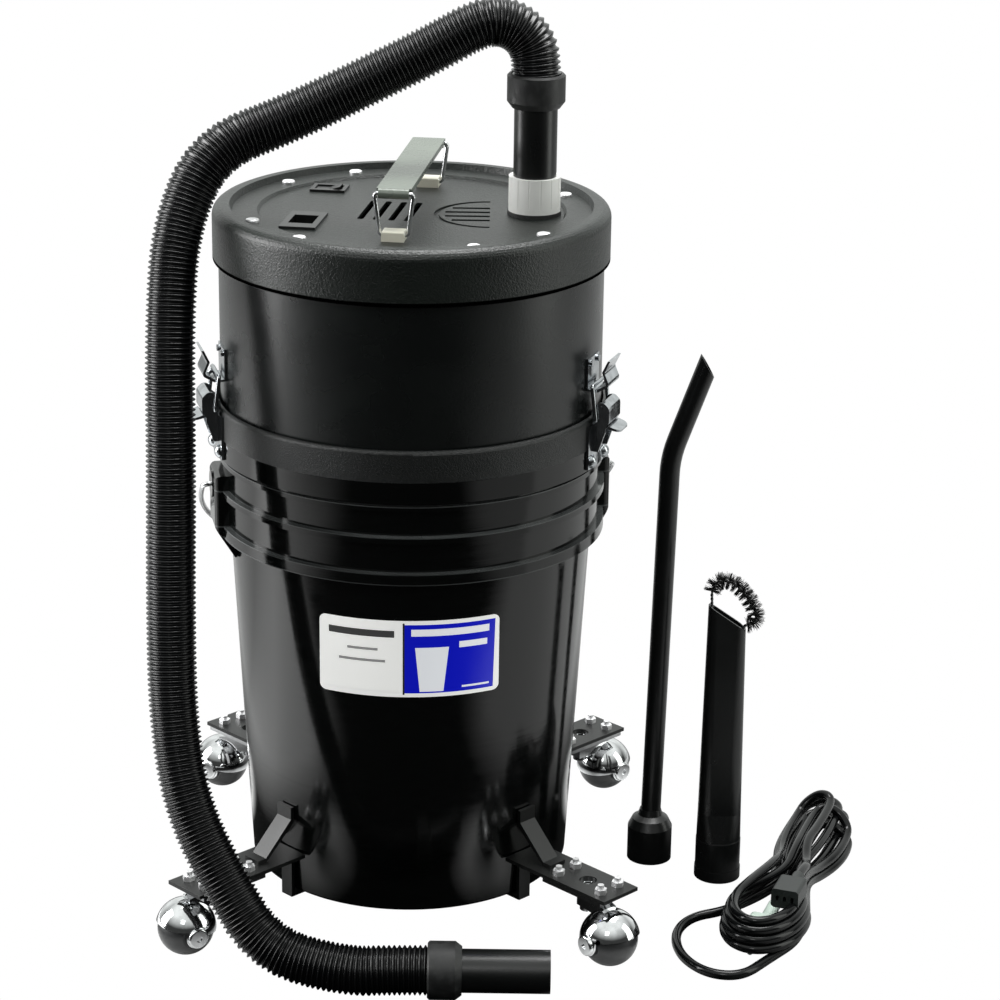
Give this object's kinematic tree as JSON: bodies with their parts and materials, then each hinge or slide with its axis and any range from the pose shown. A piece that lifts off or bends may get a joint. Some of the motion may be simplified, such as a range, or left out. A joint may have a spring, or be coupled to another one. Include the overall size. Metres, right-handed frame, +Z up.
{
  "type": "shop vacuum",
  "caption": "Bucket shop vacuum on a ball-caster dolly, with motor head, carrying strap, latches, corrugated hose, wand, crevice tool with brush, and a tied power cord.",
  "frame": {"origin": "on the floor under the centre of the pail, midway between the four casters", "axes": "+Z up; -Y is the front, the side with the label and the hose nozzle; +X points to the side with the wand, the crevice tool and the power cord"},
  "size_m": [0.5682, 0.4337, 0.7219],
  "materials": {
    "frame_black": "satin, dark grey-black",
    "zinc": "bright zinc plate",
    "chrome": "polished",
    "caster_ball": "smooth grey-black",
    "pail_black": "glossy black",
    "label": "blank two-colour label, white and royal blue",
    "drum_black": "smooth satin black",
    "lid_textured": "pebble-textured black",
    "band_textured": "fine-textured black",
    "gasket_rubber": "matt",
    "filter_cloth": "pleated, off-white",
    "motor_steel": "bare",
    "aluminium": "bare",
    "housing_black": "moulded",
    "collar_cream": "cream",
    "clip_cream": "cream",
    "grip_steel": "greenish-grey steel strap",
    "hose_black": "corrugated, satin",
    "cuff_rubber": "smooth",
    "tool_black": "moulded black",
    "bristle": "black bristle on twisted wire",
    "cord_black": "glossy black sheath",
    "plug_green": "pale green"
  },
  "bodies": {
    "dolly": {"dolly_arms": "frame_black", "dolly_hub": "frame_black", "dolly_bolts": "zinc", "dolly_nuts": "zinc", "caster_plates": "chrome"},
    "caster_front_right": {"caster_hood_front_right": "chrome"},
    "wheel_front_right": {"caster_wheel_front_right": "caster_ball"},
    "caster_front_left": {"caster_hood_front_left": "chrome"},
    "wheel_front_left": {"caster_wheel_front_left": "caster_ball"},
    "caster_rear_left": {"caster_hood_rear_left": "chrome"},
    "wheel_rear_left": {"caster_wheel_rear_left": "caster_ball"},
    "caster_rear_right": {"caster_hood_rear_right": "chrome"},
    "wheel_rear_right": {"caster_wheel_rear_right": "caster_ball"},
    "canister": {"pail": "pail_black", "pail_label": "label", "pail_gasket": "gasket_rubber", "pail_adapter": "band_textured", "head_gasket": "gasket_rubber", "filter_media": "filter_cloth", "filter_caps": "gasket_rubber", "head_drum": "drum_black", "head_lid": "lid_textured", "lid_screws": "zinc", "lid_nuts": "zinc", "motor_plate": "aluminium", "fan_housing": "housing_black", "motor_frame": "motor_steel", "inlet_collar": "collar_cream", "inlet_gasket": "gasket_rubber", "inlet_pipe": "tool_black", "power_inlet": "housing_black", "switch_housing": "housing_black", "handle_clips": "clip_cream", "latch_bases": "zinc", "latch_rivets": "zinc", "latch_keepers": "zinc"},
    "motor_spindle": {"motor_rotor": "motor_steel", "fan_impeller": "aluminium"},
    "rocker": {"switch_rocker": "housing_black"},
    "loop_front": {"handle_loop_front": "zinc"},
    "loop_rear": {"handle_loop_rear": "zinc"},
    "grip": {"handle_grip": "grip_steel"},
    "latch_lever_left_body": {"latch_lever_left": "zinc"},
    "latch_loop_left_body": {"latch_loop_left": "zinc"},
    "latch_lever_right_body": {"latch_lever_right": "zinc"},
    "latch_loop_right_body": {"latch_loop_right": "zinc"},
    "bail": {"pail_bail": "zinc"},
    "suction_hose": {"hose_tube": "tool_black", "hose_cuffs": "cuff_rubber", "hose": "hose_black", "hose_nozzle": "tool_black"},
    "wand_body": {"wand": "tool_black"},
    "crevice_set": {"crevice_tool": "tool_black", "brush": "bristle"},
    "power_cord": {"cord_hank": "cord_black", "cord_loop": "cord_black", "cord_plug": "plug_green", "cord_connector": "housing_black"}
  },
  "joints": [
    {"name": "caster_front_right_swivel", "type": "hinge", "parent": "dolly", "child": "caster_front_right", "pos_m": [0.14354, -0.14354, 0.05], "axis": [0, 0, 1], "continuous": true},
    {"name": "caster_front_right_roll", "type": "hinge", "parent": "caster_front_right", "child": "wheel_front_right", "pos_m": [0.16059, -0.167, 0.022], "axis": [0.8089, 0.5879, 0], "continuous": true},
    {"name": "caster_front_left_swivel", "type": "hinge", "parent": "dolly", "child": "caster_front_left", "pos_m": [-0.14354, -0.14354, 0.05], "axis": [0, 0, 1], "continuous": true},
    {"name": "caster_front_left_roll", "type": "hinge", "parent": "caster_front_left", "child": "wheel_front_left", "pos_m": [-0.16866, -0.15804, 0.022], "axis": [0.5, -0.866, 0], "continuous": true},
    {"name": "caster_rear_left_swivel", "type": "hinge", "parent": "dolly", "child": "caster_rear_left", "pos_m": [-0.14354, 0.14354, 0.05], "axis": [0, 0, 1], "continuous": true},
    {"name": "caster_rear_left_roll", "type": "hinge", "parent": "caster_rear_left", "child": "wheel_rear_left", "pos_m": [-0.16915, 0.15716, 0.022], "axis": [-0.4695, -0.8829, 0], "continuous": true},
    {"name": "caster_rear_right_swivel", "type": "hinge", "parent": "dolly", "child": "caster_rear_right", "pos_m": [0.14354, 0.14354, 0.05], "axis": [0, 0, 1], "continuous": true},
    {"name": "caster_rear_right_roll", "type": "hinge", "parent": "caster_rear_right", "child": "wheel_rear_right", "pos_m": [0.16509, 0.16295, 0.022], "axis": [-0.6691, 0.7431, 0], "continuous": true},
    {"name": "canister_lift", "type": "slide", "parent": "dolly", "child": "canister", "axis": [0, 0, 1], "range_m": [0, 0.12]},
    {"name": "motor_spin", "type": "hinge", "parent": "canister", "child": "motor_spindle", "pos_m": [0, 0, 0.48], "axis": [0, 0, 1], "continuous": true},
    {"name": "switch_rock", "type": "hinge", "parent": "canister", "child": "rocker", "pos_m": [-0.0675, 0.0715, 0.554], "axis": [0.1392, 0.9903, 0], "range_deg": [0, 18]},
    {"name": "handle_fold_front", "type": "hinge", "parent": "canister", "child": "loop_front", "pos_m": [-0.01059, -0.08877, 0.5592], "axis": [0.993, -0.1184, 0], "range_deg": [-66, 66]},
    {"name": "handle_fold_rear", "type": "hinge", "parent": "canister", "child": "loop_rear", "pos_m": [0.01059, 0.08877, 0.5592], "axis": [0.993, -0.1184, 0], "range_deg": [-66, 66]},
    {"name": "grip_level", "type": "hinge", "parent": "loop_front", "child": "grip", "pos_m": [-0.01059, -0.08877, 0.59], "axis": [0.993, -0.1184, 0], "range_deg": [-66, 66]},
    {"name": "latch_left_lever", "type": "hinge", "parent": "canister", "child": "latch_lever_left_body", "pos_m": [-0.15551, -0.04167, 0.42], "axis": [-0.2588, 0.9659, 0], "range_deg": [0, 90]},
    {"name": "latch_left_loop", "type": "hinge", "parent": "latch_lever_left_body", "child": "latch_loop_left_body", "pos_m": [-0.15262, -0.04089, 0.41], "axis": [-0.2588, 0.9659, 0], "range_deg": [-60, 0]},
    {"name": "latch_right_lever", "type": "hinge", "parent": "canister", "child": "latch_lever_right_body", "pos_m": [0.15129, -0.05507, 0.42], "axis": [-0.342, -0.9397, 0], "range_deg": [0, 90]},
    {"name": "latch_right_loop", "type": "hinge", "parent": "latch_lever_right_body", "child": "latch_loop_right_body", "pos_m": [0.14847, -0.05404, 0.41], "axis": [-0.342, -0.9397, 0], "range_deg": [-60, 0]},
    {"name": "bail_swing", "type": "hinge", "parent": "canister", "child": "bail", "pos_m": [0, 0, 0.343], "axis": [0.9781, 0.2079, 0], "range_deg": [0, 65]},
    {"name": "hose_pull", "type": "slide", "parent": "canister", "child": "suction_hose", "axis": [0, 0, 1], "range_m": [0, 0.045]},
    {"name": "wand_lift", "type": "slide", "parent": "dolly", "child": "wand_body", "axis": [0, 0, 1], "range_m": [0, 0.1]},
    {"name": "crevice_lift", "type": "slide", "parent": "dolly", "child": "crevice_set", "axis": [0, 0, 1], "range_m": [0, 0.1]},
    {"name": "cord_lift", "type": "slide", "parent": "dolly", "child": "power_cord", "axis": [0, 0, 1], "range_m": [0, 0.1]}
  ],
  "couplings": [
    {"joint": "handle_fold_rear", "follows": "handle_fold_front", "ratio": 1},
    {"joint": "grip_level", "follows": "handle_fold_front", "ratio": -1},
    {"joint": "latch_left_loop", "follows": "latch_left_lever", "ratio": -0.66},
    {"joint": "latch_right_loop", "follows": "latch_right_lever", "ratio": -0.66}
  ]
}
